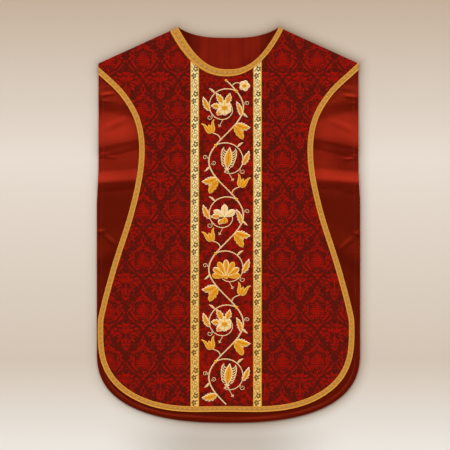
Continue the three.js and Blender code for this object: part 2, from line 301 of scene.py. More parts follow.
class Signal:
    # a shader socket that takes part in plain arithmetic

    def __init__(self, finish, socket):
        self.finish = finish
        self.socket = socket

    def maths(self, operation, *others):
        return self.finish.node("Math", {"operation": operation}, [self, *others])

    def __add__(self, other):
        return self.maths("ADD", other)

    __radd__ = __add__

    def __sub__(self, other):
        return self.maths("SUBTRACT", other)

    def __rsub__(self, other):
        return self.finish.node("Math", {"operation": "SUBTRACT"}, [other, self])

    def __mul__(self, other):
        return self.maths("MULTIPLY", other)

    __rmul__ = __mul__

    def __truediv__(self, other):
        return self.maths("DIVIDE", other)

    def __mod__(self, other):
        return self.maths("FLOORED_MODULO", other)

    def __abs__(self):
        return self.maths("ABSOLUTE")

    def sin(self):
        return self.maths("SINE")

    def most(self, other):
        return self.maths("MAXIMUM", other)

    def least(self, other):
        return self.maths("MINIMUM", other)

    def above(self, other):
        return self.maths("GREATER_THAN", other)

    def rise(self, low, high):
        # 0 up to low and 1 from high on, smooth between; the other way round where low is the larger
        settings = {"interpolation_type": "SMOOTHSTEP"}
        ends = {"From Min": min(low, high), "From Max": max(low, high)}
        share = self.finish.node("MapRange", settings, {"Value": self, **ends})
        return 1 - share if low > high else share


class NodeTree:
    # the nodes of a material or of the world

    def __init__(self, owner):
        owner.use_nodes = True
        self.tree = owner.node_tree
        self.tree.nodes.clear()

    def node(self, kind, settings, sockets, out=0):
        # adds a node, applies its settings, and then sets or links its sockets by name or number
        made = self.tree.nodes.new("ShaderNode" + kind)
        for name, value in settings.items():
            if name == "stops":
                ramp = made.color_ramp
                while len(ramp.elements) < len(value):
                    ramp.elements.new(1)
                for element, (place, colour) in zip(ramp.elements, value):
                    element.position = place
                    element.color = colour
            else:
                setattr(made, name, value)
        pairs = sockets.items() if isinstance(sockets, dict) else enumerate(sockets)
        for key, value in pairs:
            if isinstance(value, Signal):
                self.tree.links.new(value.socket, made.inputs[key])
            else:
                made.inputs[key].default_value = value
        return Signal(self, made.outputs[out])


class Finish(NodeTree):
    # one material and its node tree

    def __init__(self, name):
        self.material = bpy.data.materials.new(name)
        super().__init__(self.material)

    def place(self):
        # object coordinates, as x, y and z
        where = self.node("TexCoord", {}, {}, "Object")
        return [self.node("SeparateXYZ", {}, [where], k) for k in range(3)], where

    def uv(self, name):
        where = self.node("UVMap", {"uv_map": name}, {})
        return [self.node("SeparateXYZ", {}, [where], k) for k in range(2)]

    def noise(self, vector, scale, detail=2, roughness=0.5):
        sockets = {"Vector": vector, "Scale": scale, "Detail": detail, "Roughness": roughness}
        return self.node("TexNoise", {}, sockets, "Fac")

    def stretched(self, vector, x, y, z=1):
        return self.node("Mapping", {}, {"Vector": vector, "Scale": (x, y, z)})

    def blend(self, share, first, second):
        # a colour between first and second
        return self.node("Mix", {"data_type": "RGBA"}, {0: share, 6: first, 7: second}, 2)

    def relief(self, height, strength=1.0):
        # a bump from a height in metres
        return self.node("Bump", {}, {"Height": height, "Strength": strength, "Distance": 1.0})

    def done(self, fixed, linked):
        # the surface shader: fixed values go straight onto its sockets
        shader = self.tree.nodes.new("ShaderNodeBsdfPrincipled")
        for name, value in fixed.items():
            shader.inputs[name].default_value = value
        for name, value in linked.items():
            self.tree.links.new(value.socket, shader.inputs[name])
        output = self.tree.nodes.new("ShaderNodeOutputMaterial")
        self.tree.links.new(shader.outputs[0], output.inputs[0])
        return self.material


# Damask

damask = {
    "across": 92.5 * mm,  # the figure's repeat
    "down": 134 * mm,
    "leftColumn": -181.1 * mm,  # where a palmette's middle falls, left and right of the orphrey
    "rightColumn": 190.1 * mm,
    "row": -288.5 * mm,
    "halfWay": 57 * mm,  # how far the pomegranates lie above the palmettes
    "ground": (82, 16, 4),
    "figure": (158, 12, 0),
    "filling": 0.55,  # strength of the small leaves between the figures
    "lattice": 0.66,
    "thread": 0.7 * mm,
}

# Figure of the damask in millimetres, one half of it; the other half is its mirror image.
# A cut row is taken out of what comes before it.
palmetteShapes = [
    {"at": (5, 23), "radii": (6.5, 3.6), "turn": 24},
    {"at": (17, 20), "radii": (7, 3.6), "turn": 16},
    {"at": (28, 12), "radii": (6.5, 3.4), "turn": 4},
    {"at": (35, 3), "radii": (3.2, 5), "turn": -20},
    {"at": (6.5, 9), "radii": (3.4, 7), "turn": -16},
    {"at": (14, 8), "radii": (3.4, 6.5), "turn": -40},
    {"at": (20, 0), "radii": (8, 2.8), "turn": 14},
    {"at": (29, -5), "radii": (5.4, 3.2), "turn": -24},
    {"at": (17, -9), "radii": (8, 2.8), "turn": -22},
    {"at": (19, -19), "radii": (7, 3.0), "turn": -40},
    {"at": (9, -22), "radii": (2.6, 5.5), "turn": 24},
    {"at": (0, 4), "radii": (2.4, 10)},
    {"at": (0, -20), "radii": (3.0, 16)},
    {"at": (7, -30), "radii": (4.6, 2.6), "turn": -30},
    {"at": (5, -39), "radii": (5.4, 2.6), "turn": 20},
    {"at": (0, -44), "radii": (3.4, 3)},
    {"at": (46.2, -9), "radii": (2.2, 6.5)},
    {"at": (41, -22), "radii": (2.4, 5.5), "turn": -30},
    {"at": (40, 8), "radii": (2.2, 5), "turn": 34},
    {"at": (15, 38), "radii": (14, 2.6), "turn": -46},
    {"at": (23, 44), "radii": (12, 2.4), "turn": -54},
    {"at": (31, 46), "radii": (3.4, 3.0)},
    {"at": (6, 58), "radii": (2.6, 6), "turn": -18},
    {"at": (12, 64), "radii": (2.4, 6), "turn": -52},
    {"at": (17, 56), "radii": (5, 2.2), "turn": 20},
]
pomegranateShapes = [
    {"at": (0, 21), "radii": (4.2, 3.2)},
    {"at": (0, 14.5), "radii": (10, 2.5)},
    {"at": (0, 8.5), "radii": (17, 2.6)},
    {"at": (0, 2.4), "radii": (20, 2.6)},
    {"at": (0, -3.6), "radii": (19, 2.5)},
    {"at": (0, -9.4), "radii": (14, 2.4)},
    {"at": (3, -16), "radii": (1.8, 4.2), "turn": 8},
    {"at": (9.5, -15), "radii": (1.9, 3.8), "turn": 24},
    {"at": (25, 9), "radii": (2.6, 8), "turn": -10},
    {"at": (28, -6), "radii": (2.6, 6.5), "turn": 24},
    {"at": (21, -16), "radii": (7.5, 2.4), "turn": 36},
    {"at": (33, 16), "radii": (2.2, 5), "turn": -34},
    {"at": (12, 31), "radii": (14, 2.5), "turn": -24},
    {"at": (9, 38), "radii": (9, 2.2), "turn": -34},
    {"at": (27, 25), "radii": (5, 4.4)},
    {"at": (27, 25), "radii": (2.0, 1.8), "cut": True},
    {"at": (0, 46), "radii": (2.8, 7)},
    {"at": (0, -26), "radii": (2.6, 4.5)},
    {"at": (6, -36), "radii": (6.5, 2.6), "turn": 20},
    {"at": (16, -30), "radii": (6, 2.4), "turn": 34},
    {"at": (0, -43), "radii": (5, 2.4)},
]


def figureMask(across, up, shapes):
    # 1 inside the figure: an oval holds where (dx / rx) ** 2 + (dy / ry) ** 2 is under 1
    mask = None
    for shape in shapes:
        angle = math.radians(shape.get("turn", 0))
        dx = across - shape["at"][0]
        dy = up - shape["at"][1]
        rx, ry = shape["radii"]
        along = dx * (math.cos(angle) / rx) + dy * (math.sin(angle) / rx)
        beside = dy * (math.cos(angle) / ry) - dx * (math.sin(angle) / ry)
        oval = (along * along + beside * beside).rise(1.25, 0.8)
        if mask is None:
            mask = oval
        elif shape.get("cut"):
            mask = mask * (1 - oval)
        else:
            mask = mask.most(oval)
    return mask


def repeated(value, start, step):
    # distance in millimetres from the nearest repeat
    return ((value - start) / step + 0.5) % 1 * (step / mm) - step / mm / 2


def damaskMask(finish, x, y):
    # palmettes in one set of rows, pomegranates half a repeat across and further up
    column = x.above(frontShift) * (damask["rightColumn"] - damask["leftColumn"]) + damask["leftColumn"]
    wide, tall = damask["across"], damask["down"]
    besidePalmette = abs(repeated(x, column, wide))
    besidePomegranate = abs(repeated(x, column + wide / 2, wide))
    first = figureMask(besidePalmette, repeated(y, damask["row"], tall), palmetteShapes)
    raised = damask["row"] + damask["halfWay"]
    second = figureMask(besidePomegranate, repeated(y, raised, tall), pomegranateShapes)
    turn = y * (2 * math.pi / tall)
    radius = tall / mm / (2 * math.pi)  # the repeat rolled into a ring, so that its ends meet
    ring = [turn.sin() * radius, turn.maths("COSINE") * radius]
    cell = finish.node("CombineXYZ", {}, [besidePalmette, *ring])
    sockets = {"Vector": cell, "Scale": 0.105}
    leafy = finish.node("TexVoronoi", {"feature": "DISTANCE_TO_EDGE"}, sockets, "Distance")
    mask = first.most(second).most(leafy.rise(0.07, 0.2) * damask["filling"])
    # a dark lattice of diamonds runs between the figures
    diamond = besidePalmette * (2 * mm / wide) + abs(repeated(y, damask["row"], tall)) * (2 * mm / tall)
    return mask * (1 - abs(diamond - 1).rise(0.10, 0.02) * damask["lattice"])


def twill(x, y, pitch):
    # slanting ribs of the weave, from 0 to 1
    return ((x + y) * (2 * math.pi / pitch)).sin() * 0.5 + 0.5


def damaskFinish(name, blotches=0.34, figure=1.0):
    # the figure's edge is broken by fine noise, as woven threads break it
    finish = Finish(name)
    (x, y, _), where = finish.place()
    fine = finish.noise(where, 290, 2)
    broad = finish.noise(where, 95, 2)
    mask = damaskMask(finish, x, y) * figure
    uneven = (fine - 0.5) * 1.0 + (broad - 0.5) * blotches * 2
    mask = (mask * 0.72 + uneven + (1 - figure) * 0.5).rise(0.02, 0.86)
    cloth = finish.blend(mask, paint(*damask["ground"]), paint(*damask["figure"]))
    cloth = finish.blend(broad.rise(0.62, 0.3) * 0.35, cloth, paint(90, 20, 14))
    weave = twill(x, y, damask["thread"]) * (0.05 * mm)
    normal = finish.relief(weave + mask * (0.12 * mm), 0.35)
    rough = 0.7 - mask * 0.12
    fixed = {"Metallic": 0.0, "Sheen Weight": 0.0, "Specular IOR Level": 0.05}
    return finish.done(fixed, {"Base Color": cloth, "Roughness": rough, "Normal": normal})


# Satin


satin = {
    "warm": (176, 41, 18),
    "deep": (156, 34, 13),
    "low": (134, 29, 3),  # painted shade below the folds, and close to the shoulders
    "shade": (114, 21, 4),  # inside the neck, towards its ends
}


def satinFinish(name):
    finish = Finish(name)
    (x, y, _), where = finish.place()
    streaks = finish.noise(finish.stretched(where, 4, 90), 1.6, 3)
    ripples = finish.noise(finish.stretched(where, 60, 3), 1.0, 2)
    cloudy = finish.noise(where, 9, 2)
    colour = finish.blend(cloudy.rise(0.3, 0.7), paint(*satin["deep"]), paint(*satin["warm"]))
    # painted shade: darker below the folds, and on the upper sides towards the shoulders
    paintedShade = y.rise(0.125, 0.060) + y.rise(0.285, 0.345) * abs(x).rise(0.15, 0.20) * 0.6
    colour = finish.blend(paintedShade, colour, paint(*satin["low"]))
    inNeck = y.rise(0.400, 0.425) * abs(x).rise(0.150, 0.135)
    ends = abs(x).rise(0.060, 0.118)
    shaded = (ends * 0.9 + ripples.rise(0.4, 0.65) * 0.3).least(1)
    colour = finish.blend(inNeck * shaded, colour, paint(*satin["shade"]))
    threads = (x * (2 * math.pi / (0.45 * mm))).sin() * (0.012 * mm)
    lift, _ = finish.uv("lift")
    normal = finish.relief(lift + threads * 0.5 + streaks * (0.03 * mm), 1.0)
    rough = 0.30 + cloudy * 0.06
    fixed = {"Metallic": 0.75, "Specular IOR Level": 0.2}
    return finish.done(fixed, {"Base Color": colour, "Roughness": rough, "Normal": normal})


# Braid and galloon

braid = {
    "pitch": 13.3 * mm,  # one lozenge of the chain
    "gold": (198, 128, 36),
    "light": (226, 160, 58),
    "dark": (146, 92, 26),
    "silver": (204, 166, 100),
}


def chain(run, across):
    # lozenges down the middle: run is counted in lozenges and across goes from -1 to 1
    return 1 - 2 * np.abs(run % 1 - 0.5) - np.abs(across) / 0.36


def braidFinish(name):
    finish = Finish(name)
    u, v = finish.uv("weave")
    across = v * 2 - 1
    run = abs((u / braid["pitch"]) % 1 - 0.5) * 2
    lozenge = 1 - run - abs(across) / 0.36
    inside = lozenge.rise(0.05, 0.35)
    groove = abs(across).rise(0.42, 0.25)
    threads = ((u + abs(across) * (3 * mm)) * (2 * math.pi / (1.1 * mm))).sin() * 0.5 + 0.5
    edge = abs(across).rise(0.62, 0.72)
    gold = finish.blend(threads, paint(*braid["gold"]), paint(*braid["light"]))
    gold = finish.blend(edge * 0.3, gold, paint(*braid["light"]))
    colour = finish.blend(groove * 0.35, gold, paint(*braid["dark"]))
    colour = finish.blend(inside * 0.5, colour, paint(*braid["silver"]))
    normal = finish.relief(threads * (0.12 * mm), 0.6)
    rough = 0.42 + threads * 0.1
    fixed = {"Metallic": 0.3, "Specular IOR Level": 0.3}
    return finish.done(fixed, {"Base Color": colour, "Roughness": rough, "Normal": normal})


scrollBand = {
    "repeat": 67 * mm,
    "scroll": 373 * mm,  # height of the middle of one scroll
    "ground": (255, 242, 182),
    "grain": (228, 178, 84),
    "border": (220, 166, 40),
    "curl": (156, 94, 24),
    "sprig": (96, 44, 0),
    "hemGold": (236, 172, 44),
}

# Figures of the band in millimetres: across from its middle, and down from the middle of a scroll
sprigShapes = [
    {"at": (-6.2, -24.6), "radii": (3.6, 2.6), "turn": 20},
    {"at": (-3.8, -29.2), "radii": (2.5, 3.4), "turn": 20},
    {"at": (1.0, -27.4), "radii": (3.2, 2.3), "turn": -40},
    {"at": (1.6, -22.0), "radii": (3.1, 2.4)},
    {"at": (-3.8, -19.2), "radii": (2.6, 3.5), "turn": 24},
    {"at": (5.6, -30.4), "radii": (2.4, 1.6)},
    {"at": (5.8, 20.2), "radii": (3.4, 2.5), "turn": -30},
    {"at": (6.6, 25.8), "radii": (2.5, 3.4)},
    {"at": (2.0, 28.8), "radii": (3.4, 2.5), "turn": 20},
    {"at": (-2.2, 24.8), "radii": (2.9, 2.6)},
    {"at": (0.2, 19.4), "radii": (3.1, 2.4), "turn": 30},
    {"at": (-6.2, 29.4), "radii": (1.9, 2.1)},
]
curlShapes = [
    {"at": (-1.0, 1.4), "radii": (7.2, 7.6)},
    {"at": (-0.5, 1.2), "radii": (5.2, 5.7), "cut": True},
    {"at": (0.8, 2.6), "radii": (3.4, 3.4)},
    {"at": (1.4, 2.0), "radii": (1.6, 1.7), "cut": True},
    {"at": (2.4, -9.6), "radii": (5.2, 4.6)},
    {"at": (2.6, -9.2), "radii": (3.3, 2.8), "cut": True},
    {"at": (-3.8, 12.8), "radii": (4.6, 1.1), "turn": 52},
    {"at": (6.0, 10.6), "radii": (1.2, 4.4), "turn": -16},
    {"at": (-6.4, -10.4), "radii": (1.2, 4.2), "turn": 14},
    {"at": (7.0, 0.5), "radii": (0.9, 4.0), "turn": 8},
    {"at": (-1.0, -15.6), "radii": (4.2, 1.1), "turn": 32},
    {"at": (1.5, 15.4), "radii": (4.0, 1.1), "turn": -30},
    {"at": (-7.0, 17.5), "radii": (1.1, 3.0), "turn": -10},
]


def scrollFinish(name):
    finish = Finish(name)
    u, v = finish.uv("weave")
    across = (u * 2 - 1) * (cut["bandWidth"] / mm / 2)
    down = repeated(scrollBand["scroll"] - v, 0, scrollBand["repeat"])
    sprig = figureMask(across, down, sprigShapes)
    curl = figureMask(across, down, curlShapes)
    (_, y, _), where = finish.place()
    grain = finish.noise(where, 430, 2)
    # the ground turns a deeper gold towards the hem
    towardsHem = y.rise(0.10, -0.30) * 0.65
    ground = finish.blend(towardsHem, paint(*scrollBand["ground"]), paint(*scrollBand["hemGold"]))
    ground = finish.blend(grain.rise(0.38, 0.72) * 0.75, ground, paint(*scrollBand["grain"]))
    colour = finish.blend(curl * 0.85, ground, paint(*scrollBand["curl"]))
    colour = finish.blend(sprig * 0.9, colour, paint(*scrollBand["sprig"]))
    border = abs(across).rise(8.6, 9.4)
    colour = finish.blend(border, colour, paint(*scrollBand["border"]))
    threads = (v * (2 * math.pi / (0.9 * mm))).sin() * 0.5 + 0.5
    normal = finish.relief(threads * (0.08 * mm) + (curl + sprig) * (0.1 * mm), 0.5)
    rough = 0.5 - border * 0.1
    fixed = {"Metallic": 0.1, "Specular IOR Level": 0.06}
    return finish.done(fixed, {"Base Color": colour, "Roughness": rough, "Normal": normal})


# Embroidery threads

threads = {
    "cream": (255, 238, 200),
    "gold": (242, 180, 36),
    "amber": (212, 116, 22),
    "pitch": 0.5 * mm,  # one satin stitch beside the next
}


def threadFinish(name, rimColour, fillColour, veinColour, rim, flecked=0.0):
    # satin stitch across each blade: a rim of one thread, a fill of another and a vein down the middle
    finish = Finish(name)
    along, inward = finish.uv("stitch")
    _, side = finish.uv("share")
    stitch = ((along + inward * 0.7) * (2 * math.pi / threads["pitch"])).sin() * 0.5 + 0.5
    inner = inward.rise(rim * 0.75, rim * 1.25)
    vein = abs(side * 2 - 1).rise(0.26, 0.04) * inner
    colour = finish.blend(inner, paint(*rimColour), paint(*fillColour))
    colour = finish.blend(vein, colour, paint(*veinColour))
    (_, _, _), where = finish.place()
    flecks = finish.noise(where, 400, 1).rise(0.50, 0.60) * inner * flecked
    colour = finish.blend(flecks, colour, paint(*veinColour))
    uneven = finish.noise(where, 260, 2).rise(0.3, 0.8)
    colour = finish.blend(stitch * 0.14 + uneven * 0.3, colour, paint(*veinColour))
    normal = finish.relief(stitch * (0.1 * mm), 0.5)
    rough = 0.36 + stitch * 0.12
    fixed = {"Metallic": 0.1, "Specular IOR Level": 0.12}
    return finish.done(fixed, {"Base Color": colour, "Roughness": rough, "Normal": normal})


def plainFinish(name, colour, rough, metallic=0.0):
    finish = Finish(name)
    _, where = finish.place()
    grain = finish.noise(where, 700, 2)
    tone = finish.blend(grain, paint(*colour), paint(*(c * 0.8 for c in colour)))
    normal = finish.relief(grain * (0.06 * mm), 0.5)
    return finish.done({"Roughness": rough, "Metallic": metallic}, {"Base Color": tone, "Normal": normal})


# Back and its lining


def backHalf(y):
    # the half width narrows evenly from the lower back to the shoulder tips
    wide = cut["backWidth"] / 2
    return wide + (shoulderTipX - wide) * smooth(y, cut["flareTo"], cut["flareFrom"])


def backHemRound(count):
    # the hem's round from the side to the middle, by the superellipse's own angle
    angle = np.linspace(0, math.pi / 2, count)[1:]
    power = 2 / cut["backHemRoundness"]
    deep = cut["backHemStart"] + neckTip
    return cut["backWidth"] / 2 * np.cos(angle) ** power, cut["backHemStart"] - deep * np.sin(angle) ** power


def backGrid(columns, rows):
    # columns at shares of the half width, from the round hem up to the shoulder or the neck
    share, v = np.meshgrid(columns, rows)
    low = hemY(share, cut["backHemStart"], cut["backHemStart"] + neckTip, cut["backHemRoundness"])
    x = share * shoulderTipX
    neck = neckTip - cut["backNeckDepth"] * (1 - np.abs(x / neckline["half"]) ** cut["backNeckSpread"])
    high = np.where(np.abs(x) < neckline["half"], neck, shoulderY(x))
    y = low + (high - low) * v
    return share * backHalf(y), y


def withTips(columns):
    # puts a column exactly at each neck tip
    tip = neckline["half"] / shoulderTipX
    columns = columns.copy()
    for place in (-tip, tip):
        columns[np.argmin(np.abs(columns - place))] = place
    return columns


def backEdge(x, y):
    # distance inward from the sides and hem, by the outline's own formula
    half = backHalf(y)
    deep = cut["backHemStart"] + neckTip
    power = cut["backHemRoundness"]
    below = np.clip((cut["backHemStart"] - y) / deep, 0, 1)
    level = (np.clip(np.abs(x) / half, 0, 1) ** power + below**power) ** (1 / power)
    slopeX = (np.abs(x) / half / np.maximum(level, 1e-6)) ** (power - 1) / half
    slopeY = (below / np.maximum(level, 1e-6)) ** (power - 1) / deep
    slope = np.sqrt(slopeX**2 + slopeY**2)
    return (1 - level) / np.maximum(slope, 1.0)


lining = {
    "stitchLine": 13.5 * mm,  # inward from the edge
    "puff": 0.5 * mm,  # the turned edge outside the stitch line
    "groove": 0.45 * mm,
    "edgeRoll": 2.2 * mm,
}

# Small creases of the lining, on the left; the right side has them mirrored and a little moved
liningCreases = [
    {"at": (-322, 348), "turn": 8, "half": 30, "wide": 7, "high": 0.9},
    {"at": (-330, 330), "turn": -4, "half": 22, "wide": 5, "high": 0.8},
    {"at": (-306, 372), "turn": 12, "half": 46, "wide": 12, "high": 0.6},
    {"at": (-334, 194), "turn": 6, "half": 26, "wide": 6, "high": 1.6},
    {"at": (-326, 183), "turn": -8, "half": 34, "wide": 6, "high": 1.2},
    {"at": (-300, 270), "turn": 24, "half": 60, "wide": 14, "high": 0.4},
    {"at": (-324, 98), "turn": 2, "half": 38, "wide": 9, "high": 0.9},
    {"at": (-342, -18), "turn": 12, "half": 24, "wide": 8, "high": 0.9},
    {"at": (-312, -44), "turn": -42, "half": 60, "wide": 10, "high": 0.7},
    {"at": (-338, -190), "turn": 80, "half": 90, "wide": 12, "high": 0.5},
    {"at": (-296, -408), "turn": -52, "half": 90, "wide": 10, "high": 0.9},
    {"at": (-236, -478), "turn": -22, "half": 90, "wide": 8, "high": 0.8},
    {"at": (-96, -512), "turn": -3, "half": 110, "wide": 6, "high": 0.6},
    {"at": (-84, 470), "turn": 84, "half": 52, "wide": 13, "high": 0.5},
    {"at": (-46, 462), "turn": 93, "half": 58, "wide": 11, "high": 0.5},
    {"at": (-12, 450), "turn": 88, "half": 60, "wide": 14, "high": 0.45},
]


def mirrored(creases, shift):
    # the same creases on the other side, moved down by shift and a little smaller
    return [
        {
            **crease,
            "at": (-crease["at"][0] * 1.01, crease["at"][1] - shift),
            "turn": 180 - crease["turn"],
            "high": crease["high"] * 0.9,
        }
        for crease in creases
    ]


def liningTop(x, y):
    inward = backEdge(x, y)
    turned = lining["puff"] * (1 - smooth(inward, lining["stitchLine"] - 3 * mm, lining["stitchLine"]))
    groove = lining["groove"] * bump(inward - lining["stitchLine"], 2.5 * mm)
    roll = layers["lining"] * 0.8 * (1 - smooth(inward, 0, lining["edgeRoll"]))
    creases = liningCreases + mirrored(liningCreases, 6)
    free = smooth(np.abs(x - frontShift) - fiddleHalf(y), 0, 20 * mm)
    free = np.maximum(free, smooth(y, scoopY(neckline, x), scoopY(neckline, x) + 20 * mm))
    free = np.maximum(free, smooth(cut["frontHem"] - y, 0, 8 * mm))
    base = liningLow + layers["lining"] + ridges(x, y, "cloth") + ridges(x, y, "lining")
    return base + turned - groove - roll + creased(x, y, creases) * free


def makeBack():
    columns = withTips(closeToEdges(91, 1.5))
    x, y = backGrid(columns, shares(150))
    low = ridges(x, y, "cloth")
    finish = damaskFinish("back_damask")
    piece = makePiece("back_cloth", [wall(x, y, low, low + layers["back"], {})], finish)
    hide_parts("back_panel")
    abs(gridArea(x, y))
    return piece


def makeLining():
    columns = withTips(closeToEdges(151, 1.9))
    x, y = backGrid(columns, shares(290))
    low = liningLow + ridges(x, y, "cloth") + ridges(x, y, "lining")
    high = np.maximum(liningTop(x, y), low + 0.15 * mm)
    missing = wholeRidges(x, y, "lining") - ridges(x, y, "lining")
    beside = smooth(np.abs(x), 0.16, 0.20)
    maps = {"lift": (missing * beside, 0 * x)}
    piece = makePiece("satin_lining", [wall(x, y, low, high, maps)], satinFinish("satin"))
    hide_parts("back_lining")
    abs(gridArea(x, y))
    return piece


# Front


def frontGrid(columns, rows):
    # columns at shares of the half width, from the round hem up to the shoulder or the neckline
    share, v = np.meshgrid(columns, rows)
    limit = shoulderTipX + np.where(share < 0, frontShift, -frontShift)

    def halfAt(y):
        return np.minimum(fiddleHalf(y), limit)

    def topAt(x):
        return np.where(np.abs(x) < neckline["half"], scoopY(neckline, x), shoulderY(x))

    high = np.full_like(share, 0.45)
    for _ in range(80):  # the top depends on x, and x on the top
        high = (high + topAt(frontShift + share * halfAt(high))) / 2
    low = frontHemY(share)
    y = low + (high - low) * v
    return frontShift + share * halfAt(y), y


def makeFront():
    columns = closeToEdges(131, 1.6)
    for side in (-1, 1):
        tip = (side * neckline["half"] - frontShift) / (shoulderTipX - side * frontShift)
        columns[np.argmin(np.abs(columns - tip))] = tip
    x, y = frontGrid(columns, shares(280))
    low = frontLow(x, y)
    high = low + layers["front"]
    finish = damaskFinish("front_damask")
    piece = makePiece("damask_front", [wall(x, y, low, high, {})], finish)
    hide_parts("front_panel")
    abs(gridArea(x, y))
    return piece


# Trims on the front

trimBack = 0.16 * mm


def strip(piece, width, x, y):
    # a trim is a strip as long as its area over its width
    length = abs(gridArea(x, y)) / width
    print(piece.name, "is", round(width, 4), "by", round(length, 3))


def hemInside(x):
    # inner edge of the hem's braid
    inset = cut["edgeBraidWidth"]
    return frontHemY((x - frontShift) / (fiddleHalves[0] - inset), inset)


def columnGrid(left, right, across, down):
    # between two upright lines, from the hem's braid to the neck's
    u, v = np.meshgrid(shares(across, (0.02, 0.05)), shares(down))
    x = left + (right - left) * u
    low = hemInside(x) + trimBack
    high = scoopY(neckBand, x) - trimBack
    return x, low + (high - low) * v, u


def makeOrphrey():
    half = cut["orphreyHalf"] - trimBack
    x, y, _ = columnGrid(frontShift - half, frontShift + half, 40, 220)
    low = trimLow(x, y)
    finish = damaskFinish("orphrey_damask", 0.94, 0.6)
    cloth = [wall(x, y, low, low + layers["trim"], {})]
    piece = makePiece("orphrey_ground", cloth, finish)
    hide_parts("orphrey")
    strip(piece, 2 * half, x, y)
    return piece


def makeBand(name, node, side):
    start = frontShift + side * (cut["orphreyHalf"] + trimBack)
    end = frontShift + side * (cut["orphreyHalf"] + cut["bandWidth"] - trimBack)
    left, right = sorted([start, end])
    x, y, u = columnGrid(left, right, 9, 420)
    low = trimLow(x, y)
    cord = smooth(np.abs(u * 2 - 1), 0.70, 0.76) - smooth(np.abs(u * 2 - 1), 0.90, 1.0)
    ribs = 0.5 + 0.5 * np.cos(2 * math.pi * y / (4.2 * mm))
    high = low + layers["trim"] + 0.35 * mm * cord * (0.8 + 0.2 * ribs)
    piece = makePiece(name, [wall(x, y, low, high, {"weave": (u, y)})], bandMaterial)
    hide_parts(node)
    strip(piece, right - left, x, y)
    return piece


def evenly(line, step):
    # the line's length from its start, at each of its points, and places one step apart along it
    length = np.concatenate([[0], np.cumsum(np.hypot(*np.diff(line, axis=0).T))])
    return length, np.arange(0, length[-1], step)


def frontOutline():
    # left shoulder down the left side, round the hem and up the right side, a little past both shoulders
    side = np.linspace(0.440, fiddleHeights[0], 1600)
    sideX = fiddleHalf(side)
    angle = np.linspace(0, math.pi / 2, 1600)[1:]
    share = np.cos(angle) ** (2 / cut["frontHemRoundness"])
    left = np.stack([np.r_[-sideX, -share * fiddleHalves[0]], np.r_[side, frontHemY(share)]], -1)
    right = left[-2::-1] * [-1, 1]
    line = np.concatenate([left, right])
    line[:, 0] += frontShift
    return line


braidShares = np.concatenate([[0, 0.03], np.linspace(0.08, 0.92, 13), [0.97, 1]])


def braidHigh(low, run, across):
    # two cords along the edges and a chain of lozenges between them
    cords = bump(np.abs(across) - 0.82, 0.17) * (0.85 + 0.15 * np.cos(run * 12 * math.pi))
    links = np.clip(chain(run, across), 0, 1) ** 0.5
    ground = 0.45 + 0.12 * np.cos(run * 12 * math.pi)
    return low + mm * (0.35 + ground * 0.5 + 0.75 * cords + 0.55 * links)


def makeEdgeBraid():
    line = frontOutline()
    length, _ = evenly(line, 1)
    stations = np.linspace(0, length[-1], 1500)
    outer = np.stack([np.interp(stations, length, line[:, k]) for k in range(2)], -1)
    tangent = np.gradient(outer, axis=0)
    tangent /= np.linalg.norm(tangent, axis=1)[:, None]
    inward = np.stack([-tangent[:, 1], tangent[:, 0]], -1)
    across = braidShares
    columns = []
    for share in across:  # each line along the braid ends where it meets the shoulder tips' uprights
        edge = outer + inward * (cut["edgeBraidWidth"] * share)
        sideX = np.abs(edge[:, 0])
        middle = len(sideX) // 2
        first = np.interp(-shoulderTipX, -sideX[:middle], stations[:middle])
        last = np.interp(shoulderTipX, sideX[middle:], stations[middle:])
        t = np.linspace(0, 1, 1500)
        ends = (first, length[-1] - last)
        place = t * length[-1]
        place = place + ends[0] * np.exp(-place / 0.06) - ends[1] * np.exp(-(length[-1] - place) / 0.06)
        columns.append([*(np.interp(place, stations, edge[:, k]) for k in range(2)), place])
    x, y, run = np.array(columns).transpose(1, 2, 0)
    v = np.broadcast_to(across, x.shape)
    low = trimLow(x, y)
    high = braidHigh(low, run / braid["pitch"], v * 2 - 1)
    cloth = [wall(x, y, low, high, {"weave": (run, v)})]
    piece = makePiece("edge_braid", cloth, braidMaterial)
    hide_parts("edge_galloon")
    strip(piece, cut["edgeBraidWidth"], x, y)
    return piece


def neckBandEnd(side):
    # where the neck band's outer edge meets the shoulder, by halving
    near, far = cut["orphreyHalf"], neckBand["half"]
    for _ in range(40):
        middle = (near + far) / 2
        x = frontShift + side * middle
        if scoopY(neckBand, x) < shoulderY(x):
            near = middle
        else:
            far = middle
    return near


def makeNeckBraid():
    fine = np.linspace(-1, 1, 4001)
    inner = np.stack([fine * neckline["half"], scoopY(neckline, fine * neckline["half"])], -1)
    length, _ = evenly(inner, 1)
    t = np.interp(np.linspace(0, length[-1], 420), length, fine)
    ends = np.where(t < 0, neckBandEnd(-1), neckBandEnd(1))
    outerX = frontShift + t * ends
    outer = np.stack([outerX, scoopY(neckBand, outerX)], -1)
    outer[0, 1], outer[-1, 1] = shoulderY(outer[0, 0]), shoulderY(outer[-1, 0])
    innerX = t * neckline["half"]
    inner = np.stack([innerX, scoopY(neckline, innerX)], -1)
    across = braidShares
    grid = inner[:, None, :] + (outer - inner)[:, None, :] * (trimBack / 0.018 + across[:, None] * 0.97)
    x, y = grid[..., 0], grid[..., 1]
    run = np.broadcast_to(np.linspace(0, length[-1], 420)[:, None], x.shape)
    v = np.broadcast_to(across, x.shape)
    low = trimLow(x, y)
    high = braidHigh(low, run / braid["pitch"], v * 2 - 1)
    cloth = [wall(x, y, low, high, {"weave": (run, v)})]
    piece = makePiece("neck_braid", cloth, braidMaterial)
    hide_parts("neck_galloon")
    strip(piece, 0.016, x, y)
    return piece


# Embroidered vine: a stem that winds down the column in bays, each the mirror image of the one above it.
# Places in a bay are in millimetres: across, towards the side to which its stem swings, and down.

